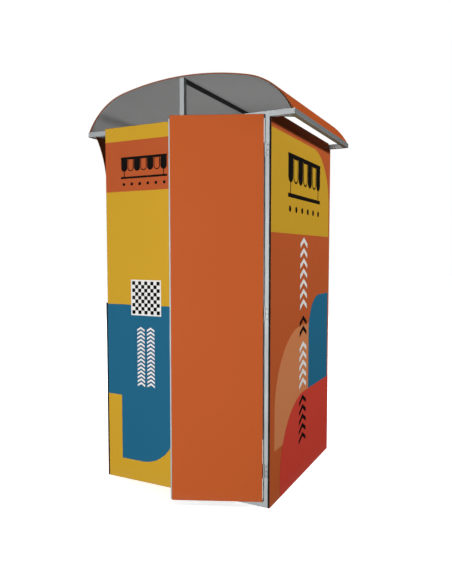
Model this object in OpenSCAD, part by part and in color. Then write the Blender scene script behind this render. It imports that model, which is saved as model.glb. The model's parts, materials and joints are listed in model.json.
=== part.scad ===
// Street kiosk: a square aluminium frame in two storeys of bars, clad with printed boards,
// under a curved sheet roof that reaches out over both sides. The front right half is a
// hinged door that stands ajar, and the left side is open above a low board.
// X runs to the right, Y from front to back and Z up. The origin lies on the ground, in the
// middle of the ground that the kiosk takes up with its door ajar.

/* [Frame] */
// Width over the corner posts
frame_w = 1000; // [700:10:1600]
// Depth over the corner posts
frame_d = 1000; // [700:10:1600]
// Height of the frame, up to the top of its rails
frame_h = 2000; // [1700:10:2600]
// Side of the square aluminium bar
bar = 27; // [20:0.5:40]
// Chamfer along the edges of the bar
bar_chamfer = 0.8; // [0.2:0.1:1.5]
// Width of the shallow channel along each face of the bar
channel_w = 9; // [4:0.5:12]
// Depth of that channel
channel_deep = 1; // [0.4:0.1:2]
// Height of the open joint between the lower and upper post
joint_h = 2; // [1:0.5:4]
// How far the joint's neck is set in from the post's faces
joint_in = 3; // [1:0.5:5]

/* [Boards] */
// Thickness of the wall and door boards
board_t = 10; // [4:0.5:20]
// How far a board stands above the rail that it ends on
board_rise = 6; // [2:1:12]
// Space left round a bar where it passes through a notch in a board
notch_gap = 1; // [0.5:0.5:3]

/* [Door] */
// Width of the door board
door_w = 465; // [360:5:560]
// How far the door stands open, in degrees
door_ajar = 23.5; // [5:0.5:60]
// Space between the closed door board and the front of the frame
door_gap = 5; // [5:0.5:8]
// Space between the door's bars and the sill, the rail above and the hinge post
leaf_gap = 5; // [5:0.5:8]
// Space between the door's free stile and the jamb
jamb_gap = 6; // [6:0.5:10]
// Height of the door board's lower edge above the sill
door_lift = 7; // [5:1:15]
// How far the door board laps over the rail above it
door_lap = 10; // [4:1:15]
// How far the free stile shows beyond the door board
stile_show = 8; // [4:1:14]

/* [Hinges] */
// Number of hinges
hinges = 3; // [2:1:4]
// Height of one hinge
hinge_h = 75; // [50:5:100]
// Distance from each end of the stile to the nearest hinge
hinge_end = 120; // [60:10:300]
// Outer diameter of the hinge barrel
barrel_d = 8; // [6:0.5:10]
// Diameter of the hinge pin
pin_d = 4; // [3:0.5:5]
// Running clearance round the pin
pin_play = 0.05; // [0.02:0.01:0.1]
// Thickness of a hinge leaf
leaf_t = 2; // [1.5:0.5:3]
// How far the pin stands beside the edge of the hinge post
pin_in = 7; // [6:0.5:10]
// Space between the barrel's knuckles, and beside them
knuckle_gap = 0.5; // [0.3:0.1:1]

/* [Roof] */
// How far the eave beams' outer faces stand out from the frame
eave_out = 130; // [90:5:250]
// Height of the roof's crown above the frame
roof_rise = 236; // [160:2:320]
// Radius of the wide curve over the crown
crown_r = 1660; // [1200:10:2200]
// Half of the angle that the crown curve covers, in degrees
crown_a = 13.2; // [8:0.2:16]
// Thickness of the outer roof sheet
skin_t = 6; // [2:0.5:8]
// Thickness of the inner roof sheet
liner_t = 2.5; // [1.5:0.5:5]
// How far the outer sheet's foot is set in from the eave beam's outer face
foot_in = 5; // [2:0.5:8]
// Space between the two sheets where they stand on the eave beam
eave_split = 8; // [6:0.5:14]
// Space between the two sheets over the crown
crown_split = 0.3; // [0.2:0.1:2]
// Space between the king posts and the sheet above them
seat_gap = 0.2; // [0.1:0.1:0.5]
// Side of the square ridge beam
ridge_w = 17; // [12:0.5:27]
// How far the ridge beam's top lies below the heads of the king posts
ridge_drop = 2; // [0:0.5:10]

/* [Window hood] */
// Thickness of the hood over the open side
hood_t = 3; // [2:0.5:6]
// Radius that the hood flares on
hood_r = 690; // [500:10:900]
// Height of the flared part, below the outriggers
hood_h = 310; // [200:10:330]
// Height of the flat part that lies on the posts
hood_flat = 40; // [20:5:80]

/* [Hidden] */

$fn = 96;
small = 0.01; // overcut, so that cuts pass cleanly through a face

// Colours
alu = [0.72, 0.75, 0.76];
dark_alu = [0.10, 0.10, 0.11];
orange = [0.75, 0.36, 0.19];
yellow = [0.80, 0.62, 0.17];
rust = [0.66, 0.31, 0.17];
grey = [0.51, 0.51, 0.51];

// Door leaf, with its pin as the centre: x to the right, y to the back, closed
// The board's hinge edge lines up with the edge of the hinge post
pin_to_free = pin_in + door_w; // pin to the board's free edge
stile_out = pin_to_free + stile_show; // pin to the free stile's outer face
stile_in = pin_in + leaf_gap; // pin to the hinge stile's outer face
leaf_w = stile_out - stile_in;
leaf_low = bar + door_lift;
leaf_high = frame_h - bar - leaf_gap;
door_high = frame_h - bar + door_lap;

// The door's free corner reaches this far in front of its pin
door_reach = pin_to_free * sin(door_ajar) + board_t * cos(door_ajar);

// The frame's faces
right_x = frame_w / 2;
left_x = -right_x;
front_y = (door_gap + door_reach - frame_d - board_t) / 2;
rear_y = front_y + frame_d;
pin_x = right_x - bar + pin_in;
pin_y = front_y - door_gap;
jamb_x = pin_x - stile_out - jamb_gap; // the jamb's face towards the door
span_d = frame_d - 2 * bar; // clear depth between posts

// Heights
mid_top = frame_h / 2 + bar / 2; // top of the middle rails, where the posts are joined
upper_low = mid_top + joint_h; // lower end of the upper posts
board_high = frame_h + board_rise;
low_board_high = mid_top + board_rise;

// Roof: each sheet follows a crown curve that runs into a tighter curve at each side
eave_x = right_x + eave_out;
skin_half = eave_x - foot_in;
liner_half = skin_half - skin_t - eave_split;
liner_rise = roof_rise - skin_t - crown_split;
liner_r = crown_r - skin_t - crown_split;
under_r = liner_r - liner_t;
under_drop = under_r - sqrt(under_r * under_r - bar * bar / 4); // over half a bar's width
king_h = liner_rise - liner_t - under_drop - seat_gap;

hood_low = frame_h - bar - hood_h; // where the hood begins to flare

hinge_pitch = (leaf_high - leaf_low - 2 * hinge_end - hinge_h) / (hinges - 1);
knuckle_h = (hinge_h - 2 * knuckle_gap) / 3;
leaf_edge = barrel_d / 2 + knuckle_gap; // where the leaves' plates begin, beside the pin

// --- Bars -------------------------------------------------------------------------------

// Section of the bar: a square with chamfered edges and a shallow channel in each face
function side_points() = [
    [bar_chamfer - bar / 2, -bar / 2], [-channel_w / 2, -bar / 2],
    [-channel_w / 2, channel_deep - bar / 2], [channel_w / 2, channel_deep - bar / 2],
    [channel_w / 2, -bar / 2], [bar / 2 - bar_chamfer, -bar / 2]
];

module bar_section() {
    polygon([
        for (k = [0:3], p = side_points())
            [bar / 2 + p.x * cos(90 * k) - p.y * sin(90 * k),
             bar / 2 + p.x * sin(90 * k) + p.y * cos(90 * k)]
    ]);
}

module bar_z(length) {
    linear_extrude(length) bar_section();
}

module bar_y(length) {
    translate([0, length, 0]) rotate([90, 0, 0]) linear_extrude(length) bar_section();
}

module bar_x(length) {
    rotate([90, 0, 90]) linear_extrude(length) bar_section();
}

// --- Posts ------------------------------------------------------------------------------

// Lower half of a corner post, with the neck that the upper half stands on
module lower_post(x, y) {
    color(alu) translate([x, y, 0]) {
        bar_z(mid_top);
        translate([joint_in, joint_in, mid_top - joint_in])
            cube([bar - 2 * joint_in, bar - 2 * joint_in, joint_in + joint_h]);
    }
}

module upper_post(x, y) {
    color(alu) translate([x, y, upper_low]) bar_z(frame_h - upper_low);
}

module post_front_left_lower() { lower_post(left_x, front_y); }
module post_front_left_upper() { upper_post(left_x, front_y); }
module post_front_right_lower() { lower_post(right_x - bar, front_y); }
module post_front_right_upper() { upper_post(right_x - bar, front_y); }
module post_rear_left_lower() { lower_post(left_x, rear_y - bar); }
module post_rear_left_upper() { upper_post(left_x, rear_y - bar); }
module post_rear_right_lower() { lower_post(right_x - bar, rear_y - bar); }
module post_rear_right_upper() { upper_post(right_x - bar, rear_y - bar); }

module door_jamb() {
    color(alu) translate([jamb_x - bar, front_y, bar]) bar_z(frame_h - 2 * bar);
}

// --- Rails ------------------------------------------------------------------------------

// Rail across the frame, between two X positions, with its top at the height given
module cross_rail(x_from, x_to, y, top) {
    color(alu) translate([x_from, y, top - bar]) bar_x(x_to - x_from);
}

// Rail from the front posts to the rear posts
module side_rail(x, top) {
    color(alu) translate([x, front_y + bar, top - bar]) bar_y(span_d);
}

module base_rail_front() { cross_rail(left_x + bar, jamb_x, front_y, bar); }
module door_sill() { cross_rail(jamb_x, right_x - bar, front_y, bar); }
module base_rail_right() { side_rail(right_x - bar, bar); }
module base_rail_rear() { cross_rail(left_x + bar, right_x - bar, rear_y - bar, bar); }
module base_rail_left() { side_rail(left_x, bar); }
module mid_rail_front() { cross_rail(left_x + bar, jamb_x - bar, front_y, mid_top); }
module mid_rail_right() { side_rail(right_x - bar, mid_top); }
module mid_rail_rear() { cross_rail(left_x + bar, right_x - bar, rear_y - bar, mid_top); }
module window_sill_rail() { side_rail(left_x, mid_top); }
module top_rail_front() { cross_rail(left_x + bar, right_x - bar, front_y, frame_h); }
module top_rail_rear() { cross_rail(left_x + bar, right_x - bar, rear_y - bar, frame_h); }
module top_rail_left() { side_rail(left_x, frame_h); }
module top_rail_right() { side_rail(right_x - bar, frame_h); }

// Stubs that carry one eave beam, at the front and at the rear
module outriggers(x) {
    for (y = [front_y, rear_y - bar])
        cross_rail(x, x + eave_out - bar, y, frame_h);
}

module eave_beam(x) {
    color(alu) translate([x, front_y, frame_h - bar]) bar_y(frame_d);
}

module outriggers_left() { outriggers(bar - eave_x); }
module outriggers_right() { outriggers(right_x); }
module eave_beam_left() { eave_beam(-eave_x); }
module eave_beam_right() { eave_beam(eave_x - bar); }

// --- Roof -------------------------------------------------------------------------------

module king_post(y) {
    color(alu) translate([-bar / 2, y, frame_h]) bar_z(king_h);
}

module king_post_front() { king_post(front_y); }
module king_post_rear() { king_post(rear_y - bar); }

// Square tube with chamfered edges, hung between the king posts
module ridge_beam() {
    flat = ridge_w / 2 - bar_chamfer;
    color(dark_alu) translate([0, rear_y - bar, frame_h + king_h - ridge_drop - ridge_w / 2])
        rotate([90, 0, 0]) linear_extrude(span_d)
            polygon([for (k = [0:3], p = [[-flat, -ridge_w / 2], [flat, -ridge_w / 2]])
                [p.x * cos(90 * k) - p.y * sin(90 * k), p.x * sin(90 * k) + p.y * cos(90 * k)]]);
}

// Radius of the side curve of an arch with this half span, rise and crown radius
function side_radius(half, rise, r) =
    let (run = half - r * sin(crown_a), drop = rise - r * (1 - cos(crown_a)))
    run / (sin(2 * atan(drop / run) - crown_a) - sin(crown_a));

// Area under an arch whose curves are r and s, with a sheet of this thickness taken off
module arch_area(half, rise, r, s, off) {
    join = (r - off) * sin(crown_a);
    intersection() {
        translate([-half, 0]) square([2 * half, rise]);
        union() {
            intersection() {
                translate([0, rise - r]) circle(r - off, $fn = 360);
                translate([-join, 0]) square([2 * join, rise]);
            }
            for (m = [0, 1]) mirror([m, 0]) intersection() {
                translate([(r - s) * sin(crown_a), rise - r + (r - s) * cos(crown_a)])
                    circle(s - off, $fn = 180);
                translate([join, 0]) square([half, rise]);
            }
        }
    }
}

// Curved sheet that stands on both eave beams
module arch_sheet(half, rise, r, thick) {
    s = side_radius(half, rise, r);
    translate([0, rear_y, frame_h]) rotate([90, 0, 0]) linear_extrude(frame_d)
        difference() {
            arch_area(half, rise, r, s, 0);
            for (drop = [0, small])
                translate([0, -drop]) arch_area(half, rise, r, s, thick);
        }
}

module roof_skin() { color(orange) arch_sheet(skin_half, roof_rise, crown_r, skin_t); }
module roof_liner() {
    color(grey) arch_sheet(liner_half, liner_rise, liner_r, liner_t);
}

// --- Boards -----------------------------------------------------------------------------

module front_panel() {
    color(yellow) translate([left_x, front_y - board_t, 0])
        cube([jamb_x - left_x, board_t, board_high]);
}

// Notched at both top corners, where the outriggers pass through it
module right_panel() {
    notch = bar + notch_gap;
    color(rust) translate([right_x, front_y, 0]) difference() {
        cube([board_t, frame_d + board_t, board_high]);
        translate([-small, -small, frame_h - notch])
            cube([board_t + 2 * small, notch + small, notch + board_rise]);
        translate([-small, frame_d - notch, frame_h - notch])
            cube([board_t + 2 * small, notch + board_t + small, notch + board_rise]);
    }
}

module rear_panel() {
    color(rust) translate([left_x, rear_y, 0]) cube([frame_w, board_t, board_high]);
}

module left_lower_panel() {
    color(yellow) translate([left_x - board_t, front_y - board_t, 0])
        cube([board_t, frame_d + 2 * board_t, low_board_high]);
}

// Thin sheet over the open side: flat against the posts, then flared out to the outriggers
module window_hood() {
    color(orange) translate([left_x, rear_y, 0]) rotate([90, 0, 0]) linear_extrude(frame_d) {
        translate([-hood_t, hood_low - hood_flat]) square([hood_t, hood_flat]);
        translate([-hood_r, hood_low]) intersection() {
            difference() {
                circle(hood_r, $fn = 180);
                circle(hood_r - hood_t, $fn = 180);
            }
            square([hood_r, hood_h]);
        }
    }
}

// --- Door -------------------------------------------------------------------------------

// Turns the door's own frame, with the pin at its centre, to where the door stands ajar
module on_pin() {
    translate([pin_x, pin_y, 0]) rotate([0, 0, door_ajar]) children();
}

module door_panel() {
    color(orange) on_pin() translate([-pin_to_free, -board_t, leaf_low])
        cube([door_w, board_t, door_high - leaf_low]);
}

// Recessed in front for the hinge leaves
module door_stile_hinge() {
    color(alu) on_pin() difference() {
        translate([-stile_in - bar, 0, leaf_low]) bar_z(leaf_high - leaf_low);
        at_hinges() translate([-stile_in - bar / 2, -small, 0])
            cube([bar, leaf_t + small, hinge_h]);
    }
}

module door_stile_free() {
    color(alu) on_pin() translate([-stile_out, 0, leaf_low]) bar_z(leaf_high - leaf_low);
}

module door_rail(low) {
    color(alu) on_pin() translate([bar - stile_out, 0, low]) bar_x(leaf_w - 2 * bar);
}

module door_top_rail() { door_rail(leaf_high - bar); }
module door_mid_rail() { door_rail(mid_top - bar); }
module door_bottom_rail() { door_rail(leaf_low); }

// --- Hinges -----------------------------------------------------------------------------

module at_hinges() {
    for (k = [0:hinges - 1])
        translate([0, 0, leaf_low + hinge_end + k * hinge_pitch]) children();
}

// Leaves on the post: a plate, the outer two knuckles and the pin that joins them
module hinge_post_leaves() {
    color(alu) translate([pin_x, pin_y, 0]) at_hinges() {
        translate([leaf_edge, door_gap - leaf_t, 0])
            cube([bar - pin_in - leaf_edge - bar_chamfer, leaf_t, hinge_h]);
        for (z = [0, hinge_h - knuckle_h]) translate([0, 0, z]) {
            cylinder(h = knuckle_h, d = barrel_d);
            translate([0, door_gap - leaf_t, 0])
                cube([leaf_edge + leaf_t, leaf_t, knuckle_h]);
        }
        cylinder(h = hinge_h, d = pin_d);
    }
}

// Leaves on the door: a plate in the stile's recess and the bored middle knuckle
module hinge_door_leaves() {
    color(alu) on_pin() at_hinges() difference() {
        union() {
            translate([-stile_in - bar / 2, 0, 0])
                cube([stile_in + bar / 2 - leaf_edge, leaf_t, hinge_h]);
            translate([0, 0, knuckle_h + knuckle_gap]) {
                cylinder(h = knuckle_h, d = barrel_d);
                translate([-leaf_edge - leaf_t, 0, 0])
                    cube([leaf_edge + leaf_t, leaf_t, knuckle_h]);
            }
        }
        translate([0, 0, -small])
            cylinder(h = hinge_h + 2 * small, d = pin_d + 2 * pin_play);
    }
}

// --- Nodes ------------------------------------------------------------------------------

post_front_left_lower();
post_front_left_upper();
post_front_right_lower();
post_front_right_upper();
post_rear_left_lower();
post_rear_left_upper();
post_rear_right_lower();
post_rear_right_upper();
door_jamb();
base_rail_front();
door_sill();
base_rail_right();
base_rail_rear();
base_rail_left();
mid_rail_front();
mid_rail_right();
mid_rail_rear();
window_sill_rail();
top_rail_front();
top_rail_rear();
top_rail_left();
top_rail_right();
outriggers_left();
outriggers_right();
eave_beam_left();
eave_beam_right();
king_post_front();
king_post_rear();
ridge_beam();
roof_skin();
roof_liner();
front_panel();
right_panel();
rear_panel();
left_lower_panel();
window_hood();
hinge_post_leaves();
door_panel();
door_stile_hinge();
door_stile_free();
door_top_rail();
door_mid_rail();
door_bottom_rail();
hinge_door_leaves();
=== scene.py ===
import functools
import json
import math

import bmesh
import bpy
from bpy.props import FloatProperty, FloatVectorProperty, IntProperty, PointerProperty
from bpy.types import Operator, Panel, PropertyGroup
from mathutils import Matrix, Vector


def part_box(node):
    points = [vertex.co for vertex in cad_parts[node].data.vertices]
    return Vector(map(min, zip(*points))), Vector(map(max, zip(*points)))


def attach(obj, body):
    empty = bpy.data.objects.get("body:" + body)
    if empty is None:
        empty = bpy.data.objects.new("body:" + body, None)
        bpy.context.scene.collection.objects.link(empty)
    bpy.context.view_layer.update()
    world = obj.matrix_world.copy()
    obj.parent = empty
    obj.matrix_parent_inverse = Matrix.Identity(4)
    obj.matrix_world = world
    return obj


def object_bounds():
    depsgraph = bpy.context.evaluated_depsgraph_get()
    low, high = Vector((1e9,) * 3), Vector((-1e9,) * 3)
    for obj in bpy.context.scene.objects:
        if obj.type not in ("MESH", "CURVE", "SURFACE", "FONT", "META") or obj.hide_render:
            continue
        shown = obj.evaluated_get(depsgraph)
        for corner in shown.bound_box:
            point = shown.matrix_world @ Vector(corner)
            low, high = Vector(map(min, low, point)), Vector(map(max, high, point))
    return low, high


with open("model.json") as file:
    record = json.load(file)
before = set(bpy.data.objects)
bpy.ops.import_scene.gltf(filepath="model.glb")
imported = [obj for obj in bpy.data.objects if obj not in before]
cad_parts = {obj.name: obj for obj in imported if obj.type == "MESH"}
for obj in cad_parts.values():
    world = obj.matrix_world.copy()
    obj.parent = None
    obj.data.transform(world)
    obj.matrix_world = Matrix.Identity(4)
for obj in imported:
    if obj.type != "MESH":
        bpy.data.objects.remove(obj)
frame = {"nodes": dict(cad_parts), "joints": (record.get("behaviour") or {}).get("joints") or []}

bl_info = {
    "name": "Street Kiosk",
    "version": (1, 0, 0),
    "blender": (4, 5, 0),
    "location": "View3D > Sidebar > Kiosk",
    "description": "Finishes and printed films for a street kiosk of aluminium bars and boards",
    "category": "Object",
}

MM = 0.001
CAD_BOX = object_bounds()
HINGE = frame["joints"][0]
PIN = Vector(HINGE["pos_m"]) * Vector((1, 1, 0))
AJAR = math.radians(-HINGE["range_deg"][0])  # how far the door stands from closed

# Nodes by the direction that their bars run in
UPRIGHT_BARS = (
    "post_front_left_lower", "post_front_left_upper",
    "post_front_right_lower", "post_front_right_upper",
    "post_rear_left_lower", "post_rear_left_upper",
    "post_rear_right_lower", "post_rear_right_upper",
    "door_jamb", "door_stile_hinge", "door_stile_free",
)
OUTRIGGERS = ("outriggers_left", "outriggers_right")  # each node is a front and a rear bar
CROSS_BARS = (
    "base_rail_front", "door_sill", "base_rail_rear", "mid_rail_front", "mid_rail_rear",
    "top_rail_front", "top_rail_rear", *OUTRIGGERS,
)
SIDE_BARS = (
    "base_rail_right", "base_rail_left", "mid_rail_right", "window_sill_rail",
    "top_rail_left", "top_rail_right",
)
EAVE_BARS = ("eave_beam_left", "eave_beam_right")
KING_BARS = ("king_post_front", "king_post_rear")
DOOR_BARS = ("door_top_rail", "door_mid_rail", "door_bottom_rail")
# Bars with a lock screw at each end: the axis along the bar and the face that the screw is in
LOCKED_BARS = (
    ("base_rail_front", 0, (0, 1, 0)), ("base_rail_rear", 0, (0, -1, 0)),
    ("base_rail_left", 1, (1, 0, 0)), ("base_rail_right", 1, (-1, 0, 0)),
    ("mid_rail_front", 0, (0, 1, 0)), ("mid_rail_rear", 0, (0, -1, 0)),
    ("window_sill_rail", 1, (1, 0, 0)), ("mid_rail_right", 1, (-1, 0, 0)),
    ("top_rail_front", 0, (0, 1, 0)), ("top_rail_rear", 0, (0, -1, 0)),
    ("top_rail_left", 1, (1, 0, 0)), ("top_rail_right", 1, (-1, 0, 0)),
    ("eave_beam_left", 1, (1, 0, 0)), ("eave_beam_right", 1, (-1, 0, 0)),
    ("king_post_front", 2, (0, 1, 0)), ("king_post_rear", 2, (0, -1, 0)),
    ("door_jamb", 2, (0, 1, 0)),
)
# Boards under a print, apart from the door's, and the way that each one's inner face looks
WALL_BOARDS = {
    "front_panel": (0, 1, 0), "right_panel": (-1, 0, 0), "rear_panel": (0, -1, 0),
    "left_lower_panel": (1, 0, 0),
}
# Runs of chevrons up a wall board: ink, foot above the column's foot, and height. A low board
# has only the first LOW_RUNS of them.
WALL_RUNS = (
    ("dark", 0.0, 0.285), ("light", 0.325, 0.275), ("dark", 0.630, 0.120),
    ("light", 0.785, 0.415),
)
LOW_RUNS = 2
# Soft boxes, each with a power in the stage settings: where it hangs, and its sides. All of them
# face the kiosk's middle, apart from the one in the cabin, which faces up.
SOFT_BOXES = {
    "front": ((0.1, -7.0, 0.9), (1.0, 1.5)),
    "side": ((6.5, 0.6, 3.4), (3.0, 0.7)),
    "rear": ((-2.6, 7.2, 3.6), (3.0, 1.5)),
    "left": ((-6.5, 1.6, 2.6), (3.0, 1.2)),
    "top": ((0.0, 0.0, 6.0), (5.0, 5.0)),
    "cabin": ((0.22, 0.1, 0.9), (0.4, 0.7)),
}


# --- Settings ---------------------------------------------------------------------------


def length(name, description, default, low=0.0):
    """Setting in metres."""
    return FloatProperty(name=name, description=description, default=default, min=low,
                         unit="LENGTH", subtype="DISTANCE", precision=5)


def colour(name, description, default):
    """Setting of a colour, in linear light."""
    return FloatVectorProperty(name=name, description=description, default=default,
                               subtype="COLOR", size=3, min=0.0, max=1.0)


def share(name, description, default):
    """Setting from 0 to 1."""
    return FloatProperty(name=name, description=description, default=default,
                         min=0.0, max=1.0, subtype="FACTOR")


def power(name, description, default):
    """Setting in watts."""
    return FloatProperty(name=name, description=description, default=default, min=0.0,
                         unit="POWER")


def count_of(name, description, default, low, high):
    """Setting that is a whole number."""
    return IntProperty(name=name, description=description, default=default, min=low, max=high)


class KioskInks(PropertyGroup):
    """Colours of the printed films"""
    yellow: colour("Yellow", "Ground of the front board", (0.60, 0.345, 0.026))
    side_yellow: colour("Side yellow", "Yellow panel of the wall boards", (0.60, 0.345, 0.026))
    band: colour("Band orange", "Band across the front board", (0.47, 0.096, 0.028))
    orange: colour("Wall orange", "Ground of the wall boards", (0.503, 0.104, 0.028))
    door: colour("Door orange", "Door board", (0.472, 0.095, 0.022))
    blue: colour("Blue", "Blue shape of the front board", (0.016, 0.126, 0.228))
    # The side blue is the front blue made about 15 per cent lighter: painted light, making up for
    # the dimmer light on the wall boards.
    side_blue: colour("Side blue", "Blue shape of the wall boards", (0.0185, 0.147, 0.259))
    red: colour("Red", "Red shape of the wall boards", (0.60, 0.055, 0.036))
    tan: colour("Tan", "Tan shape of the wall boards", (0.62, 0.224, 0.088))
    dark: colour("Dark ink", "Emblem and dark marks", (0.006, 0.005, 0.0045))
    light: colour("Light ink", "Label and light marks", (0.80, 0.79, 0.77))


class KioskFilm(PropertyGroup):
    """How the films lie on the boards"""
    thick: length("Thickness", "Thickness of one film", 0.25 * MM, 0.05 * MM)
    margin: length("Margin", "Bare edge left round a film", 0.6 * MM)
    notch_gap: length("Notch gap", "Space round a bar that passes through a board", 1 * MM)
    steps: count_of("Arc steps", "Straight runs in a quarter circle", 24, 4, 96)


class KioskFrontPrint(PropertyGroup):
    """Layout of the front board, from its lower left corner"""
    band_low: length("Band low", "Lower edge of the orange band", 1.6495)
    band_high: length("Band high", "Upper edge of the orange band", 1.928)
    blue_high: length("Blue high", "Upper edge of the blue shape", 1.0145)
    blue_low: length("Blue low", "Lower edge of the blue shape", 0.119)
    blue_right: length("Blue right", "Right edge of the blue shape", 0.453)
    blue_corner: length("Blue corner", "Radius of its lower right corner", 0.222)
    step_high: length("Step high", "Height of the yellow step at the left", 0.490)
    step_wide: length("Step wide", "Width of the yellow step at the left", 0.094)
    label_left: length("Label left", "Left edge of the square label", 0.167)
    label_low: length("Label low", "Lower edge of the square label", 0.956)
    label_side: length("Label side", "Side of the square label", 0.200)
    label_rim: share("Label rim", "Light rim of the label, as a share of its side", 0.04)
    label_cells: count_of("Label cells", "Squares along one side of the label", 9, 3, 21)
    marks_left: length("Marks left", "Left edge of the light marks", 0.206)
    marks_low: length("Marks low", "Where the light marks begin", 0.552)
    marks_high: length("Marks high", "Height of the light marks", 0.340)
    marks_wide: length("Marks wide", "Width of one column of light marks", 0.050)
    marks_pitch: length("Marks pitch", "From one column of light marks to the next", 0.066)
    marks_stroke: length("Marks stroke", "Stroke of the light marks", 0.011)
    emblem_left: length("Emblem left", "Left edge of the emblem", 0.108)
    emblem_low: length("Emblem low", "Lower edge of the emblem", 1.680)
    emblem_wide: length("Emblem wide", "Width of the emblem", 0.304)
    emblem_high: length("Emblem high", "Height of the emblem", 0.158)


class KioskSidePrint(PropertyGroup):
    """Layout of the wall boards, from their lower left corner as seen from outside"""
    yellow_low: length("Yellow low", "Lower edge of the yellow panel", 1.410)
    yellow_high: length("Yellow high", "Upper edge of the yellow panel", 1.925)
    yellow_corner: length("Yellow corner", "Radius of its upper right corner", 0.320)
    strip: length("Strip", "Orange strip left at the right edge", 0.028)
    tan_left: length("Tan left", "Left edge of the tan shape", 0.062)
    tan_low: length("Tan low", "Lower edge of the tan shape", 0.278)
    tan_high: length("Tan high", "Upper edge of the tan shape", 0.891)
    tan_corner: length("Tan corner", "Radius of its upper left corner", 0.410)
    red_left: length("Red left", "Left edge of the red shape", 0.143)
    red_high: length("Red high", "Upper edge of the red shape", 0.496)
    red_corner: length("Red corner", "Radius of its upper left corner", 0.388)
    blue_left: length("Blue left", "Left edge of the blue shape", 0.600)
    blue_high: length("Blue high", "Upper edge of the blue shape", 1.049)
    blue_corner: length("Blue corner", "Radius of its upper left corner", 0.199)
    emblem_left: length("Emblem left", "Left edge of the emblem", 0.235)
    emblem_low: length("Emblem low", "Lower edge of the emblem", 1.526)
    emblem_wide: length("Emblem wide", "Width of the emblem", 0.560)
    emblem_high: length("Emblem high", "Height of the emblem", 0.312)
    marks_left: length("Marks left", "Left edge of the column of marks", 0.440)
    marks_wide: length("Marks wide", "Width of the column of marks", 0.120)
    marks_low: length("Marks low", "Where the column of marks begins", 0.195)
    marks_stroke: length("Marks stroke", "Stroke of the marks", 0.026)


class KioskMetal(PropertyGroup):
    """Finish of the bars and the hinges"""
    aluminium: colour("Aluminium", "Anodised bars", (0.48, 0.51, 0.52))
    # The ridge beam's near-black is painted shade, standing in for the shadow that falls on it
    # under the roof.
    ridge: colour("Ridge", "Black anodised ridge beam", (0.016, 0.016, 0.017))
    hinge: colour("Hinge metal", "Plated hinge leaves", (0.40, 0.42, 0.43))
    screw: colour("Screw metal", "Blackened screws", (0.10, 0.10, 0.105))
    roughness: share("Roughness", "Roughness of the bars", 0.66)
    # painted side shade: how far the left and right faces of the eave beams and king posts are
    # darkened, standing in for shadow
    painted_side_shade: share("Deeper sides", "Tone of the sides of the eave beams and king posts", 0.45)


class KioskHardware(PropertyGroup):
    """Screws in the hinges and in the channels of the bars"""
    channel: length("Channel", "Depth of the channel along a bar's face", 1 * MM)
    head: length("Head", "Diameter of a screw head", 7.6 * MM, 3 * MM)
    head_high: length("Head height", "Height of a screw head", 1.4 * MM, 0.5 * MM)
    inset: length("Inset", "From a bar's end to the middle of its screw", 18 * MM)
    hinge_head: length("Hinge head", "Diameter of a hinge screw's head", 6.4 * MM, 3 * MM)
    hinge_head_high: length("Hinge head height", "Height of a hinge screw's head", 0.8 * MM)
    hinges: count_of("Hinges", "Number of hinges", 3, 2, 4)
    hinge_high: length("Hinge height", "Height of one hinge", 75 * MM, 50 * MM)
    hinge_margin: length("Hinge margin", "From a hinge's end to its outer screws", 12 * MM)
    leaf_edge: length("Leaf edge", "From the pin to where the leaf's plate begins", 4.5 * MM)
    leaf_thick: length("Leaf thickness", "Thickness of a hinge leaf", 2 * MM)
    sides: count_of("Sides", "Points round a screw head, a multiple of 6", 24, 12, 48)


class KioskSheets(PropertyGroup):
    """Finish of the roof sheets, the hood and the backs of the boards"""
    roof: colour("Roof orange", "Outer roof sheet", (0.445, 0.083, 0.017))
    # The darker cut edge is painted shade, standing in for the shade along the sheet's edge.
    roof_edge: colour("Roof edge", "Cut edge of the outer roof sheet", (0.27, 0.080, 0.028))
    hood: colour("Hood orange", "Hood over the open side", (0.50, 0.105, 0.030))
    # The hood's dark inner face is painted shade, standing in for the shadow inside the hood.
    hood_inside: colour("Hood inside", "Inner face of the hood", (0.15, 0.040, 0.014))
    liner: colour("Liner grey", "Inner roof sheet", (0.46, 0.46, 0.46))
    # The darker cut edge of the liner is painted shade, standing in for the dark gap between the
    # sheets.
    liner_edge: colour("Liner edge", "Cut edge of the inner roof sheet", (0.19, 0.175, 0.165))
    back: colour("Back grey", "Inner face of the boards", (0.33, 0.33, 0.325))
    core: colour("Core", "Foamed core, seen along the boards' edges", (0.006, 0.0055, 0.0055))
    outer_roughness: share("Outer roughness", "Roughness of the outer roof sheet", 0.72)
    inner_roughness: share("Inner roughness", "Roughness of the inner sheet and hood", 0.55)


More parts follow.
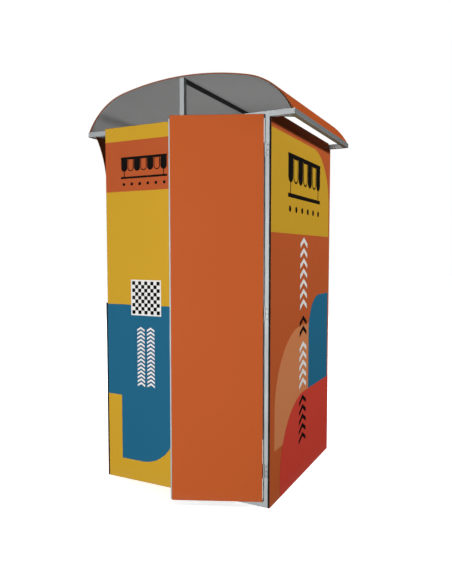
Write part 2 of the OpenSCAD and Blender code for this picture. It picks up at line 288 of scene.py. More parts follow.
class KioskStage(PropertyGroup):
    """Floor, light and camera"""
    floor: colour("Floor", "Pale floor", (0.86, 0.86, 0.86))
    floor_side: length("Floor side", "Side of the floor", 60.0, 3.0)
    glow: share("Glow", "Light that the floor adds of its own, near the kiosk", 0.70)
    glow_near: length("Glow near", "How far out the floor begins to glow more", 0.9)
    glow_far: length("Glow far", "How far out the floor glows fully", 2.4)
    bounce: share("Bounce", "Share of light that the floor sends back to the kiosk", 0.035)
    ambient: FloatProperty(name="Ambient", description="Strength of the even light from all round",
                           default=0.04, min=0.0, max=3.0)
    front_watts: power("Front light", "Power of the front soft box", 408.0)
    side_watts: power("Side light", "Power of the side soft box", 324.0)
    rear_watts: power("Rear light", "Power of the rear soft box", 330.0)
    left_watts: power("Left light", "Power of the soft box at the left", 260.0)
    top_watts: power("Top light", "Power of the soft box overhead", 80.0)
    cabin_watts: power("Cabin light", "Power of the light in the cabin", 3.9)
    lens: FloatProperty(name="Lens", description="Focal length of the camera",
                        default=34.72, min=10.0, max=200.0)
    sensor: FloatProperty(name="Sensor", description="Width of the camera's sensor",
                          default=36.0, min=10.0, max=70.0)
    camera_at: FloatVectorProperty(name="Camera place", description="Where the camera stands",
                                   default=(1.5716, -3.0063, 1.3028), subtype="XYZ",
                                   unit="LENGTH")
    camera_turn: FloatVectorProperty(name="Camera turn", description="How the camera is turned",
                                     default=[math.radians(a) for a in (86.095, 0, 26.727)],
                                     subtype="EULER", unit="ROTATION")


SETTINGS = {
    "kiosk_inks": KioskInks, "kiosk_film": KioskFilm, "kiosk_front": KioskFrontPrint,
    "kiosk_side": KioskSidePrint, "kiosk_metal": KioskMetal, "kiosk_hardware": KioskHardware,
    "kiosk_sheets": KioskSheets, "kiosk_stage": KioskStage,
}


# --- Material building --------------------------------------------------------------------


def begin_finish(name, metallic, roughness, base, sheen=0.5):
    """New material with a shader whose even values are set on its own sockets."""
    finish = bpy.data.materials.new(name)
    finish.use_nodes = True
    tree = finish.node_tree
    shader = tree.nodes["Principled BSDF"]
    shader.inputs["Base Color"].default_value = (*base, 1)
    shader.inputs["Metallic"].default_value = metallic
    shader.inputs["Roughness"].default_value = roughness
    shader.inputs["Specular IOR Level"].default_value = sheen
    return finish, tree, shader


def place(tree, stretch=(1, 1, 1), turn=0.0):
    """The piece's own coordinates, turned back about the vertical and then stretched."""
    source = tree.nodes.new("ShaderNodeTexCoord")
    mapping = tree.nodes.new("ShaderNodeMapping")
    mapping.vector_type = "TEXTURE"
    mapping.inputs["Rotation"].default_value = (0, 0, turn)
    mapping.inputs["Scale"].default_value = [1 / s for s in stretch]
    tree.links.new(source.outputs["Object"], mapping.inputs["Vector"])
    return mapping.outputs["Vector"]


def noise(tree, where, scale, detail=3.0, rough=0.55):
    """Soft random pattern, from 0 to 1."""
    node = tree.nodes.new("ShaderNodeTexNoise")
    node.inputs["Scale"].default_value = scale
    node.inputs["Detail"].default_value = detail
    node.inputs["Roughness"].default_value = rough
    tree.links.new(where, node.inputs["Vector"])
    return node.outputs["Fac"]


def cells(tree, where, scale):
    """Pattern of small cells: how far each point is from the middle of its cell."""
    node = tree.nodes.new("ShaderNodeTexVoronoi")
    node.inputs["Scale"].default_value = scale
    tree.links.new(where, node.inputs["Vector"])
    return node.outputs["Distance"]


def spread(tree, value, low, high, start=0.3, end=0.7):
    """Stretches a value between start and end to the range from low to high."""
    node = tree.nodes.new("ShaderNodeMapRange")
    for socket, number in zip(("From Min", "From Max", "To Min", "To Max"),
                              (start, end, low, high)):
        node.inputs[socket].default_value = number
    tree.links.new(value, node.inputs["Value"])
    return node.outputs["Result"]


def blend_colours(tree, factor, first, second):
    """Mixes two colours, each a tuple or a socket, by a factor that varies."""
    node = tree.nodes.new("ShaderNodeMix")
    node.data_type = "RGBA"
    tree.links.new(factor, node.inputs["Factor"])
    for socket, value in ((node.inputs[6], first), (node.inputs[7], second)):
        if isinstance(value, tuple):
            socket.default_value = (*value, 1)
        else:
            tree.links.new(value, socket)
    return node.outputs[2]


def shade_of(base, factor):
    """A colour made darker or lighter."""
    return tuple(min(1.0, c * factor) for c in base)


def combine(tree, operation, first, second):
    """Sum, product or other result of two values, each a number or a socket."""
    node = tree.nodes.new("ShaderNodeMath")
    node.operation = operation
    for socket, value in zip(node.inputs, (first, second)):
        if isinstance(value, (int, float)):
            socket.default_value = value
        else:
            tree.links.new(value, socket)
    return node.outputs[0]


def relief(tree, shader, height, strength, distance):
    """Lets a pattern raise the surface by up to a distance, in metres."""
    node = tree.nodes.new("ShaderNodeBump")
    node.inputs["Strength"].default_value = strength
    node.inputs["Distance"].default_value = distance
    tree.links.new(height, node.inputs["Height"])
    tree.links.new(node.outputs["Normal"], shader.inputs["Normal"])


def height_above_ground(tree):
    """How far up each point is."""
    source = tree.nodes.new("ShaderNodeTexCoord")
    split = tree.nodes.new("ShaderNodeSeparateXYZ")
    tree.links.new(source.outputs["Object"], split.inputs["Vector"])
    return split.outputs["Z"]


def looks_along(tree, direction, both_ways=False):
    """1 on surfaces that face a direction, or its opposite too, and 0 on the rest."""
    facing = tree.nodes.new("ShaderNodeVectorMath")
    facing.operation = "DOT_PRODUCT"
    facing.inputs[1].default_value = direction
    source = tree.nodes.new("ShaderNodeTexCoord")
    tree.links.new(source.outputs["Normal"], facing.inputs[0])
    value = facing.outputs["Value"]
    if both_ways:
        value = combine(tree, "ABSOLUTE", value, 0.0)
    return spread(tree, value, 0.0, 1.0, 0.6, 0.7)


def ground_dust(tree, paint, dust=(0.45, 0.42, 0.38), reach=0.08, most=0.07):
    """Lays a thin, broken veil of dust over the paint, near the ground."""
    near = spread(tree, height_above_ground(tree), most, 0.0, 0.0, reach)
    patch = spread(tree, noise(tree, place(tree), 26, 5, 0.7), 0.0, 1.0, 0.38, 0.66)
    return blend_colours(tree, combine(tree, "MULTIPLY", near, patch), paint, dust)


def bar_finish(name, base, roughness, axis, turn=0.0, metallic=0.55, painted_side_shade=1.0):
    """Anodised bar: fine drawn lines along it, and a slow change of tone. Its faces that look
    left and right may be darkened as painted shade."""
    across, along = 260.0, 2.0
    finish, tree, shader = begin_finish(name, metallic, roughness, base)
    stretch = [across] * 3
    stretch[axis] = along
    lines = noise(tree, place(tree, stretch, turn), 4.0, 4, 0.6)
    cloud = noise(tree, place(tree), 7.0, 3)
    tone = blend_colours(tree, lines, shade_of(base, 0.90), shade_of(base, 1.08))
    tone = blend_colours(tree, spread(tree, cloud, 0.0, 0.18), tone, shade_of(base, 0.82))
    # painted shade: faces that look left or right are darkened, standing in for the shadow on them
    if painted_side_shade < 1.0:
        shaded_tone = blend_colours(tree, lines, shade_of(base, 0.90 * painted_side_shade),
                             shade_of(base, 1.08 * painted_side_shade))
        tone = blend_colours(tree, looks_along(tree, (1, 0, 0), both_ways=True), tone, shaded_tone)
    tree.links.new(ground_dust(tree, tone, most=0.12), shader.inputs["Base Color"])
    gloss = combine(tree, "ADD", spread(tree, lines, roughness - 0.07, roughness + 0.08),
                    spread(tree, cloud, -0.03, 0.04))
    tree.links.new(gloss, shader.inputs["Roughness"])
    relief(tree, shader, lines, 0.12, 0.00012)
    return finish


def film_finish(name, base, roughness=0.55):
    """Printed film under a satin laminate: print grain, faint mottle and a soft orange peel."""
    finish, tree, shader = begin_finish(name, 0.0, roughness, base, sheen=0.04)
    grain = noise(tree, place(tree), 1400, 2, 0.6)
    mottle = noise(tree, place(tree), 2.6, 4, 0.55)
    paint = blend_colours(tree, grain, shade_of(base, 0.95), shade_of(base, 1.05))
    paint = blend_colours(tree, spread(tree, mottle, 0.0, 0.30), paint, shade_of(base, 0.92))
    tree.links.new(ground_dust(tree, paint), shader.inputs["Base Color"])
    scuffs = noise(tree, place(tree, (1, 1, 0.25)), 38, 6, 0.75)
    gloss = combine(tree, "ADD", spread(tree, mottle, roughness - 0.04, roughness + 0.05),
                    spread(tree, scuffs, 0.0, 0.14, 0.55, 0.75))
    tree.links.new(gloss, shader.inputs["Roughness"])
    peel = combine(tree, "ADD", noise(tree, place(tree), 170, 2, 0.5),
                   combine(tree, "MULTIPLY", noise(tree, place(tree), 4.5, 2), 6.0))
    relief(tree, shader, peel, 0.10, 0.0004)
    return finish


def board_finish(name, core, back, inward):
    """Board under its print: foamed core along the edges and a plain laminate on the back."""
    core_roughness, back_roughness = 0.82, 0.50
    finish, tree, shader = begin_finish(name, 0.0, back_roughness, core, sheen=0.06)
    pores = cells(tree, place(tree), 900)
    foam = blend_colours(tree, spread(tree, pores, 0.0, 1.0, 0.1, 0.6),
                         shade_of(core, 0.6), shade_of(core, 2.2))
    fibres = noise(tree, place(tree), 420, 3, 0.6)
    cloud = noise(tree, place(tree), 3.2, 4)
    laminate = blend_colours(tree, fibres, shade_of(back, 0.93), shade_of(back, 1.05))
    laminate = blend_colours(tree, spread(tree, cloud, 0.0, 0.35), laminate,
                             shade_of(back, 0.86))
    is_back = looks_along(tree, inward)
    tree.links.new(blend_colours(tree, is_back, foam, laminate), shader.inputs["Base Color"])
    gloss = combine(tree, "ADD", spread(tree, is_back, core_roughness, back_roughness, 0, 1),
                    spread(tree, cloud, -0.05, 0.06))
    tree.links.new(gloss, shader.inputs["Roughness"])
    relief(tree, shader, combine(tree, "ADD", pores, fibres), 0.25, 0.0003)
    return finish


def sheet_finish(name, base, roughness, ripple, edge, inside=None):
    """Coated sheet: satin skin with a fine leather grain and slow ripples along it. Its cut
    edges at the front and rear are darkened as painted shade, and so may be its face to the right."""
    finish, tree, shader = begin_finish(name, 0.0, roughness, base, sheen=0.03)
    grain = noise(tree, place(tree), 700, 3, 0.6)
    mottle = noise(tree, place(tree, (1, 0.4, 1)), 3.4, 4, 0.6)
    paint = blend_colours(tree, grain, shade_of(base, 0.95), shade_of(base, 1.05))
    paint = blend_colours(tree, spread(tree, mottle, 0.0, 0.35), paint, shade_of(base, 0.90))
    streaks = noise(tree, place(tree, (26, 5, 1.2)), 1.6, 4, 0.6)
    paint = blend_colours(tree, spread(tree, streaks, 0.0, 0.16, 0.55, 0.75), paint,
                          shade_of(base, 0.72))
    # painted shade: the face that looks right, into the cabin, is darkened
    if inside:
        painted_inner_shade = blend_colours(tree, grain, shade_of(inside, 0.85), shade_of(inside, 1.15))
        paint = blend_colours(tree, looks_along(tree, (1, 0, 0)), paint, painted_inner_shade)
    # painted shade: the cut edges at the front and rear are darkened
    cut = blend_colours(tree, noise(tree, place(tree), 900, 2), shade_of(edge, 0.8),
                        shade_of(edge, 1.2))
    paint = blend_colours(tree, looks_along(tree, (0, 1, 0), both_ways=True), paint, cut)
    tree.links.new(paint, shader.inputs["Base Color"])
    gloss = combine(tree, "ADD", spread(tree, mottle, roughness - 0.05, roughness + 0.06),
                    spread(tree, grain, -0.03, 0.03))
    tree.links.new(gloss, shader.inputs["Roughness"])
    waves = combine(tree, "MULTIPLY", noise(tree, place(tree, (1, 0.5, 1)), 3.0, 2), ripple)
    relief(tree, shader, combine(tree, "ADD", waves, combine(tree, "MULTIPLY", grain, 0.5)),
           0.18, 0.001)
    return finish


def steel_finish(name, base, roughness=0.46):
    """Plated steel: soft blotches of plating and fine scratches."""
    finish, tree, shader = begin_finish(name, 0.5, roughness, base)
    blotch = noise(tree, place(tree), 90, 4, 0.6)
    scratch = noise(tree, place(tree, (6, 6, 60)), 40, 5, 0.7)
    tree.links.new(blend_colours(tree, blotch, shade_of(base, 0.84), shade_of(base, 1.1)),
                   shader.inputs["Base Color"])
    gloss = combine(tree, "ADD", spread(tree, blotch, roughness - 0.06, roughness + 0.08),
                    spread(tree, scratch, 0.0, 0.12, 0.5, 0.7))
    tree.links.new(gloss, shader.inputs["Roughness"])
    relief(tree, shader, scratch, 0.15, 0.0001)
    return finish


def show_by_view(tree, seen, lit, output):
    """Shows one shader to the camera and another to the light."""
    pick = tree.nodes.new("ShaderNodeMixShader")
    path = tree.nodes.new("ShaderNodeLightPath")
    tree.links.new(path.outputs["Is Camera Ray"], pick.inputs["Fac"])
    tree.links.new(lit.outputs[0], pick.inputs[1])
    tree.links.new(seen.outputs[0], pick.inputs[2])
    tree.links.new(pick.outputs[0], tree.nodes[output].inputs["Surface"])


def floor_finish(stage):
    """Pale floor that glows a little, and sends back less light than it shows."""
    base = tuple(stage.floor)
    finish, tree, shader = begin_finish("pale_floor", 0.0, 0.7, base, sheen=0.0)
    cloud = noise(tree, place(tree), 0.8, 4)
    tree.links.new(blend_colours(tree, cloud, shade_of(base, 0.99), shade_of(base, 1.01)),
                   shader.inputs["Base Color"])
    shader.inputs["Emission Color"].default_value = (1, 1, 1, 1)
    away = tree.nodes.new("ShaderNodeVectorMath")
    away.operation = "LENGTH"
    tree.links.new(place(tree), away.inputs[0])
    tree.links.new(spread(tree, away.outputs["Value"], stage.glow, 1.0, stage.glow_near,
                          stage.glow_far), shader.inputs["Emission Strength"])
    dim = tree.nodes.new("ShaderNodeBsdfDiffuse")
    dim.inputs["Color"].default_value = (stage.bounce, stage.bounce, stage.bounce, 1)
    show_by_view(tree, shader, dim, "Material Output")
    return finish


def wear_finish(finish, *names):
    """Gives a finish to CAD nodes."""
    for name in names:
        mesh = frame["nodes"][name].data
        mesh.materials.clear()
        mesh.materials.append(finish)


# --- Film building --------------------------------------------------------------------------


def board_plane(name):
    """Matrix whose X runs to the right, Y up and Z out of a board's outer face, seen from
    outside, with the face's lower left corner as its origin, and the face's width and height."""
    low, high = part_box(name)
    if name == "front_panel":
        corner, right, out = (low.x, low.y, low.z), (1, 0, 0), (0, -1, 0)
        wide = high.x - low.x
    elif name == "right_panel":
        corner, right, out = (high.x, low.y, low.z), (0, 1, 0), (1, 0, 0)
        wide = high.y - low.y
    elif name == "rear_panel":
        corner, right, out = (high.x, high.y, low.z), (-1, 0, 0), (0, 1, 0)
        wide = high.x - low.x
    else:
        corner, right, out = (low.x, high.y, low.z), (0, -1, 0), (-1, 0, 0)
        wide = high.y - low.y
    columns = Matrix((right, (0, 0, 1), out)).transposed().to_4x4()
    return Matrix.Translation(corner) @ columns, wide, high.z - low.z


def leaf_box(name):
    """Box of a node of the door in the door's own frame: closed, with the pin as its centre."""
    back = door_frame().inverted()
    points = [back @ v.co for v in frame["nodes"][name].data.vertices]
    return (Vector([min(p[k] for p in points) for k in range(3)]),
            Vector([max(p[k] for p in points) for k in range(3)]))


def door_frame():
    """Matrix from the door's own frame to where the door stands ajar."""
    return Matrix.Translation(PIN) @ Matrix.Rotation(AJAR, 4, "Z")


def rectangle(left, low, wide, high):
    """Outline of a rectangle."""
    return [(left, low), (left + wide, low), (left + wide, low + high), (left, low + high)]


def arc(centre, radius, start, end, steps):
    """Points along an arc, with its angles in degrees."""
    turns = [math.radians(start + (end - start) * k / steps) for k in range(steps + 1)]
    return [(centre[0] + radius * math.cos(a), centre[1] + radius * math.sin(a))
            for a in turns]


def shoulder(left, low, right, high, radius, steps):
    """Shape with square corners apart from a large round one at its upper left."""
    return ([(left, low), (right, low), (right, high)]
            + arc((left + radius, high - radius), radius, 90, 180, steps))


def cut_above(outline, limit):
    """The part of an outline that lies below a height."""
    kept = []
    for (x0, z0), (x1, z1) in zip(outline, outline[1:] + outline[:1]):
        if z0 <= limit:
            kept.append((x0, z0))
        if (z0 - limit) * (z1 - limit) < 0:
            kept.append((x0 + (x1 - x0) * (limit - z0) / (z1 - z0), limit))
    return kept


def make_piece(name, shape, finish, body):
    """Turns a built shape into a piece that rides on a body."""
    mesh = bpy.data.meshes.new(name)
    shape.to_mesh(mesh)
    shape.free()
    mesh.materials.append(finish)
    piece = bpy.data.objects.new(name, mesh)
    bpy.context.scene.collection.objects.link(piece)
    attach(piece, body)


@functools.cache
def film_of(ink):
    """Finish of the films printed in one ink, made when it is first asked for."""
    return film_finish("film_" + ink, tuple(getattr(bpy.context.scene.kiosk_inks, ink)))


def lay_film(name, outlines, plane, level, ink, body="frame"):
    """One piece of cut film for each outline, joined into one object, at a level of the stack."""
    thick = bpy.context.scene.kiosk_film.thick
    film = bmesh.new()
    for outline in outlines:
        under = [film.verts.new((x, y, level * thick)) for x, y in outline]
        over = [film.verts.new((x, y, (level + 1) * thick)) for x, y in outline]
        film.faces.new(over)
        film.faces.new(under[::-1])
        for k in range(len(outline)):
            nxt = (k + 1) % len(outline)
            film.faces.new((under[k], under[nxt], over[nxt], over[k]))
    bmesh.ops.recalc_face_normals(film, faces=film.faces)
    bmesh.ops.triangulate(film, faces=[f for f in film.faces if len(f.verts) > 4])
    film.transform(plane)
    make_piece(name, film, film_of(ink), body)


def lay_emblem(name, left, low, wide, high, plane, level, ground):
    """A plain sign of a stall: a striped awning on two posts, a counter and a row of dots."""
    stripes, dots = 7, 6
    steps = bpy.context.scene.kiosk_film.steps // 2
    rim = 0.018 * wide  # stroke of the outlined stripes and of the posts
    pitch = wide / stripes
    head, hem = low + 0.93 * high, low + 0.50 * high  # upper and lower ends of the stripes
    post_low, post_high = low + 0.30 * high, 0.22 * high
    counter_low, counter_high = low + 0.25 * high, 0.07 * high
    dot_in, dot_radius = 0.06 * wide, 0.055 * high
    dark, windows = [rectangle(left, head, wide, low + high - head)], []
    for k in range(stripes):
        middle, radius = left + (k + 0.5) * pitch, 0.47 * pitch
        dark.append([(middle + radius, head), (middle - radius, head)]
                    + arc((middle, hem + radius), radius, 180, 360, steps))
        if k % 2:
            inner = radius - rim
            windows.append([(middle + inner, head - rim / 2), (middle - inner, head - rim / 2)]
                           + arc((middle, hem + radius), inner, 180, 360, steps))
    for side in (0.5 * pitch, wide - 0.5 * pitch):
        dark.append(rectangle(left + side - rim / 2, post_low, rim, post_high))
    dark.append(rectangle(left, counter_low, wide, counter_high))
    for k in range(dots):
        centre = (left + dot_in + (wide - 2 * dot_in) * k / (dots - 1), low + dot_radius)
        dark.append(arc(centre, dot_radius, 0, 360, 2 * steps)[:-1])
    lay_film(name, dark, plane, level, "dark")
    lay_film(name + "_stripes", windows, plane, level + 1, ground)


def chevrons(left, low, wide, high, stroke):
    """A column of plain chevrons that point up, spread evenly over a height."""
    slope, spacing = 0.30, 2.0
    rise = slope * wide
    count = max(1, round((high - rise) / (spacing * stroke)))
    pitch = (high - rise - stroke) / max(1, count - 1)
    shapes = []
    for k in range(count):
        foot = low + k * pitch
        shapes.append([(left, foot), (left + wide / 2, foot + rise), (left + wide, foot),
                       (left + wide, foot + stroke), (left + wide / 2, foot + rise + stroke),
                       (left, foot + stroke)])
    return shapes


def screw_rings(radius, high):
    """Outline of a low round head with a six-sided socket: how far each ring of points lies
    from the middle, whether it has six sides, and its height."""
    socket = 0.42 * radius
    return ((socket, True, 0.35 * high), (socket, True, 0.98 * high),
            (0.62 * radius, False, high), (0.86 * radius, False, 0.82 * high),
            (radius, False, 0.40 * high), (radius, False, 0.0))


def set_screws(name, spots, radius, high, finish, body="frame"):
    """Joins one screw head for each spot, a point and the direction that the head faces. Each
    socket is turned a little further than the one before it."""
    sides = bpy.context.scene.kiosk_hardware.sides
    turn_step = math.radians(37)
    heads = bmesh.new()
    for k, (point, out) in enumerate(spots):
        turn = Matrix.Rotation(turn_step * k, 4, "Z")
        stand = Matrix.Translation(point) @ out.to_track_quat("Z", "Y").to_matrix().to_4x4() @ turn
        rings = []
        for reach, six_sided, level in screw_rings(radius, high):
            ring = []
            for step in range(sides):
                angle = 2 * math.pi * step / sides
                flat = math.cos(angle % (math.pi / 3) - math.pi / 6) if six_sided else 1.0
                ring.append(heads.verts.new(stand @ Vector((
                    reach / flat * math.cos(angle), reach / flat * math.sin(angle), level))))
            rings.append(ring)
        heads.faces.new(rings[0])
        heads.faces.new(rings[-1][::-1])
        for inner, outer in zip(rings, rings[1:]):
            for step in range(sides):
                nxt = (step + 1) % sides
                heads.faces.new((inner[step], outer[step], outer[nxt], inner[nxt]))
    bmesh.ops.recalc_face_normals(heads, faces=heads.faces)
    make_piece(name, heads, finish, body)


def bar_spots(box, axis, out, count=1):
    """Spots for screws near both ends of a bar, on the floor of the channel in one face. A node
    with two bars has them side by side in Y."""
    hardware = bpy.context.scene.kiosk_hardware
    low, high = box
    out = Vector(out)
    middles = [(low + high) / 2]
    if count == 2:
        half = (high.z - low.z) / 2
        middles = [Vector((middles[0].x, y, middles[0].z)) for y in (low.y + half, high.y - half)]
    face = max(range(3), key=lambda k: abs(out[k]))
    spots = []
    for middle in middles:
        for end in (low[axis] + hardware.inset, high[axis] - hardware.inset):
            point = middle.copy()
            point[axis] = end
            point[face] = high[face] if out[face] > 0 else low[face]
            spots.append((point - out * hardware.channel, out))
    return spots


def print_wall(prefix, node):
    """Lays the wall graphics on a board, as far up as the board goes."""
    side, film = bpy.context.scene.kiosk_side, bpy.context.scene.kiosk_film
    plane, wide, high = board_plane(node)
    edge = film.margin
    top = high - edge
    right = wide - side.strip
    ground = rectangle(edge, edge, wide - 2 * edge, top - edge)
    if node == "right_panel":
        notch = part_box("post_front_right_upper")
        bar = notch[1].x - notch[0].x + film.notch_gap
        step = notch[1].z - bar - edge
        front = bar + edge
        rear = wide - (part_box("right_panel")[1].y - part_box("rear_panel")[0].y) - bar - edge
        ground = [(edge, edge), (wide - edge, edge), (wide - edge, step), (rear, step),
                  (rear, top), (front, top), (front, step), (edge, step)]
    lay_film(prefix + "_print_ground", [ground], plane, 0, "orange")
    shapes = {
        "tan": shoulder(side.tan_left, side.tan_low, side.blue_left, side.tan_high,
                        side.tan_corner, film.steps),
        # painted light: the wall boards' blue is a lightened copy of the front blue
        "side_blue": shoulder(side.blue_left, side.red_high, right, side.blue_high,
                              side.blue_corner, film.steps),
        "red": shoulder(side.red_left, edge, wide - edge, side.red_high,
                        side.red_corner, film.steps),
    }
    for level, (ink, outline) in enumerate(shapes.items(), start=1):
        lay_film(f"{prefix}_print_{ink}", [cut_above(outline, top)], plane, level, ink)
    tall = high > side.yellow_high
    marks = {"dark": [], "light": []}
    for ink, foot, rise in WALL_RUNS if tall else WALL_RUNS[:LOW_RUNS]:
        marks[ink] += chevrons(side.marks_left, side.marks_low + foot, side.marks_wide, rise,
                               side.marks_stroke)
    if tall:
        corner = side.yellow_corner
        yellow = arc((right - corner, side.yellow_high - corner), corner, 0, 90, film.steps)
        yellow += [(edge, side.yellow_high), (edge, side.yellow_low), (right, side.yellow_low)]
        lay_film(prefix + "_print_yellow", [yellow], plane, 1, "side_yellow")
        lay_emblem(prefix + "_emblem", side.emblem_left, side.emblem_low, side.emblem_wide,
                   side.emblem_high, plane, 2, "side_yellow")
    for ink, outlines in marks.items():
        lay_film(f"{prefix}_marks_{ink}", outlines, plane, len(shapes) + 1, ink)


# --- Operators --------------------------------------------------------------------------------


class KIOSK_OT_stage(Operator):
    """Lay the pale floor, hang the soft lights and set up the camera"""
    bl_idname = "kiosk.stage"
    bl_label = "Stage"

    def execute(self, context):
        stage = context.scene.kiosk_stage
        context.scene.view_settings.view_transform = "Standard"
        world = bpy.data.worlds.new("studio_light")
        world.use_nodes = True
        tree = world.node_tree
        lit, seen = tree.nodes["Background"], tree.nodes.new("ShaderNodeBackground")
        lit.inputs["Color"].default_value = (1, 1, 1, 1)
        lit.inputs["Strength"].default_value = stage.ambient
        seen.inputs["Color"].default_value = (1, 1, 1, 1)
        show_by_view(tree, seen, lit, "World Output")
        context.scene.world = world

        half = stage.floor_side / 2
        mesh = bpy.data.meshes.new("floor")
        mesh.from_pydata([(-half, -half, 0), (half, -half, 0), (half, half, 0), (-half, half, 0)],
                         [], [(0, 1, 2, 3)])
        mesh.materials.append(floor_finish(stage))
        floor = bpy.data.objects.new("floor", mesh)
        context.scene.collection.objects.link(floor)

        middle = (CAD_BOX[0] + CAD_BOX[1]) / 2
        for name, (where, size) in SOFT_BOXES.items():
            light = bpy.data.lights.new(name + "_light", "AREA")
            light.shape = "RECTANGLE"
            light.size, light.size_y = size
            light.energy = getattr(stage, name + "_watts")
            faces = Vector((0, 0, 1)) if name == "cabin" else middle - Vector(where)
            lamp = bpy.data.objects.new(light.name, light)
            lamp.location = where
            lamp.rotation_euler = faces.to_track_quat("-Z", "Y").to_euler()
            lamp.visible_camera = False
            context.scene.collection.objects.link(lamp)

        data = bpy.data.cameras.new("camera")
        data.lens, data.sensor_width = stage.lens, stage.sensor
        camera = bpy.data.objects.new("camera", data)
        camera.location = stage.camera_at
        camera.rotation_euler = stage.camera_turn
        context.scene.collection.objects.link(camera)
        context.scene.camera = camera
        return {"FINISHED"}


class KIOSK_OT_bars(Operator):
    """Finish the bars of the frame and of the door, and the ridge beam"""
    bl_idname = "kiosk.bars"
    bl_label = "Bars"

    def execute(self, context):
        metal = context.scene.kiosk_metal
        base, rough = tuple(metal.aluminium), metal.roughness
        wear_finish(bar_finish("anodised_cross", base, rough, 0), *CROSS_BARS)
        wear_finish(bar_finish("anodised_side", base, rough, 1), *SIDE_BARS)
        wear_finish(bar_finish("anodised_upright", base, rough, 2), *UPRIGHT_BARS)
        wear_finish(bar_finish("anodised_door", base, rough, 0, AJAR), *DOOR_BARS)
        # The eave beams and king posts get painted shade on their sides.
        wear_finish(bar_finish("anodised_eave", base, rough, 1, painted_side_shade=metal.painted_side_shade), *EAVE_BARS)
        wear_finish(bar_finish("anodised_king", base, rough, 2, painted_side_shade=metal.painted_side_shade), *KING_BARS)
        # painted shade: the ridge beam is made near-black where it lies in the roof's shadow
        wear_finish(bar_finish("black_anodised", tuple(metal.ridge), 0.5, 1, metallic=0.3),
                    "ridge_beam")
        return {"FINISHED"}


class KIOSK_OT_boards(Operator):
    """Finish the boards under their prints: foamed core at the edges, laminate on the back"""
    bl_idname = "kiosk.boards"
    bl_label = "Boards"

    def execute(self, context):
        sheets = context.scene.kiosk_sheets
        door_inward = (-math.sin(AJAR), math.cos(AJAR), 0)
        for name, inward in (*WALL_BOARDS.items(), ("door_panel", door_inward)):
            wear_finish(board_finish("board_" + name, tuple(sheets.core), tuple(sheets.back),
                                     inward), name)
        return {"FINISHED"}


class KIOSK_OT_roof(Operator):
    """Finish the roof sheets and the hood over the open side"""
    bl_idname = "kiosk.roof"
    bl_label = "Roof and Hood"

    def execute(self, context):
        sheets = context.scene.kiosk_sheets
        outer, inner = sheets.outer_roughness, sheets.inner_roughness
        roof_edge = tuple(sheets.roof_edge)
        skin = sheet_finish("roof_coating", tuple(sheets.roof), outer, 0.8, roof_edge)
        liner = sheet_finish("liner_coating", tuple(sheets.liner), inner, 0.5,
                             tuple(sheets.liner_edge))
        # The hood's inner face carries painted shade.
        hood = sheet_finish("hood_coating", tuple(sheets.hood), inner, 0.6, roof_edge,
                            tuple(sheets.hood_inside))
        wear_finish(skin, "roof_skin")
        wear_finish(liner, "roof_liner")
        wear_finish(hood, "window_hood")
        return {"FINISHED"}


class KIOSK_OT_hinges(Operator):
    """Finish the hinge leaves"""
    bl_idname = "kiosk.hinges"
    bl_label = "Hinges"

    def execute(self, context):
        steel = steel_finish("plated_steel", tuple(context.scene.kiosk_metal.hinge))
        wear_finish(steel, "hinge_post_leaves", "hinge_door_leaves")
        return {"FINISHED"}


class KIOSK_OT_screws(Operator):
    """Set the screws of the hinge leaves and the lock screws in the channels of the bars"""
    bl_idname = "kiosk.screws"
    bl_label = "Screws"

    def execute(self, context):
        hardware = context.scene.kiosk_hardware
        finish = steel_finish("black_screw", tuple(context.scene.kiosk_metal.screw))

        low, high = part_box("hinge_post_leaves")
        pitch = (high.z - low.z - hardware.hinge_high) / (hardware.hinges - 1)
        across = (PIN.x + hardware.leaf_edge + high.x) / 2
        spots = []
        for k in range(hardware.hinges):
            for rise in (hardware.hinge_margin, hardware.hinge_high / 2,
                         hardware.hinge_high - hardware.hinge_margin):
                spots.append((Vector((across, high.y - hardware.leaf_thick,
                                      low.z + k * pitch + rise)), Vector((0, -1, 0))))
        set_screws("hinge_screws", spots, hardware.hinge_head / 2, hardware.hinge_head_high,
                   finish)

        spots = []
        for name, axis, out in LOCKED_BARS:
            spots += bar_spots(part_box(name), axis, out)
        for name in OUTRIGGERS:
            spots += bar_spots(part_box(name), 0, (0, 0, -1), count=2)
        set_screws("frame_lock_screws", spots, hardware.head / 2, hardware.head_high, finish)

        spots = []
        ajar = door_frame()
        for name in DOOR_BARS:
            spots += [(ajar @ point, ajar.to_3x3() @ out)
                      for point, out in bar_spots(leaf_box(name), 0, (0, 1, 0))]
        set_screws("door_lock_screws", spots, hardware.head / 2, hardware.head_high, finish,
                   "door")
        return {"FINISHED"}


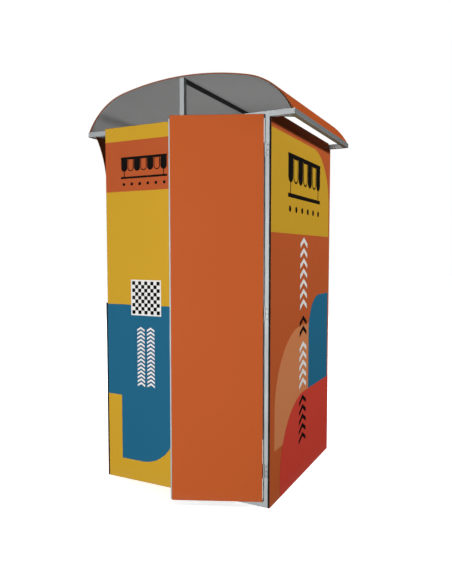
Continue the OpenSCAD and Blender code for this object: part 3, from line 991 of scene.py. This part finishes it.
class KIOSK_OT_front_print(Operator):
    """Lay the printed films on the front board"""
    bl_idname = "kiosk.front_print"
    bl_label = "Front Print"

    def execute(self, context):
        front, film = context.scene.kiosk_front, context.scene.kiosk_film
        plane, wide, high = board_plane("front_panel")
        edge, slot = film.margin, "front_board"
        lay_film("front_print_ground", [rectangle(edge, edge, wide - 2 * edge, high - 2 * edge)],
                 plane, 0, "yellow")
        lay_film("front_print_band",
                 [rectangle(edge, front.band_low, wide - 2 * edge,
                            front.band_high - front.band_low)],
                 plane, 1, "band")
        corner = front.blue_corner
        blue = [(edge, front.blue_high), (edge, front.step_high),
                (front.step_wide, front.step_high), (front.step_wide, front.blue_low)]
        blue += arc((front.blue_right - corner, front.blue_low + corner), corner, 270, 360,
                    film.steps)
        blue.append((front.blue_right, front.blue_high))
        lay_film("front_print_blue", [blue], plane, 1, "blue")

        side = front.label_side
        lay_film("front_label", [rectangle(front.label_left, front.label_low, side, side)],
                 plane, 2, "light")
        rim = front.label_rim * side
        cell = (side - 2 * rim) / front.label_cells
        squares = [rectangle(front.label_left + rim + i * cell, front.label_low + rim + j * cell,
                             cell, cell)
                   for i in range(front.label_cells) for j in range(front.label_cells)
                   if (i + j) % 2 == 0]
        lay_film("front_label_squares", squares, plane, 3, "dark")

        marks = []
        for left in (front.marks_left, front.marks_left + front.marks_pitch):
            marks += chevrons(left, front.marks_low, front.marks_wide, front.marks_high,
                              front.marks_stroke)
        lay_film("front_marks", marks, plane, 2, "light")
        lay_emblem("front_emblem", front.emblem_left, front.emblem_low, front.emblem_wide,
                   front.emblem_high, plane, 2, "band")
        return {"FINISHED"}


class KIOSK_OT_wall_prints(Operator):
    """Lay the printed films on the right, rear and low left boards"""
    bl_idname = "kiosk.wall_prints"
    bl_label = "Wall Prints"

    def execute(self, context):
        print_wall("right", "right_panel")
        print_wall("rear", "rear_panel")
        print_wall("left", "left_lower_panel")
        return {"FINISHED"}


class KIOSK_OT_door_print(Operator):
    """Lay the printed film on the door board"""
    bl_idname = "kiosk.door_print"
    bl_label = "Door Print"

    def execute(self, context):
        low, high = leaf_box("door_panel")
        edge = context.scene.kiosk_film.margin
        columns = Matrix(((1, 0, 0), (0, 0, 1), (0, -1, 0))).transposed().to_4x4()
        plane = door_frame() @ Matrix.Translation(low) @ columns
        lay_film("door_print", [rectangle(edge, edge, high.x - low.x - 2 * edge,
                                          high.z - low.z - 2 * edge)],
                 plane, 0, "door", "door")
        return {"FINISHED"}


OPERATORS = (
    KIOSK_OT_stage, KIOSK_OT_bars, KIOSK_OT_boards, KIOSK_OT_roof, KIOSK_OT_hinges,
    KIOSK_OT_screws, KIOSK_OT_front_print, KIOSK_OT_wall_prints, KIOSK_OT_door_print,
)


class KIOSK_PT_sidebar(Panel):
    """Lists the kiosk's pieces"""
    bl_idname = "KIOSK_PT_sidebar"
    bl_label = "Street Kiosk"
    bl_space_type = "VIEW_3D"
    bl_region_type = "UI"
    bl_category = "Kiosk"

    def draw(self, context):
        for operator in OPERATORS:
            self.layout.operator(operator.bl_idname)


CLASSES = (*SETTINGS.values(), *OPERATORS, KIOSK_PT_sidebar)


def register():
    for cls in CLASSES:
        bpy.utils.register_class(cls)
    for name, group in SETTINGS.items():
        setattr(bpy.types.Scene, name, PointerProperty(type=group))


def unregister():
    for name in SETTINGS:
        delattr(bpy.types.Scene, name)
    for cls in reversed(CLASSES):
        bpy.utils.unregister_class(cls)


def main():
    register()
    for operator in OPERATORS:
        area, name = operator.bl_idname.split(".")
        getattr(getattr(bpy.ops, area), name)()


if __name__ == "__main__":
    main()
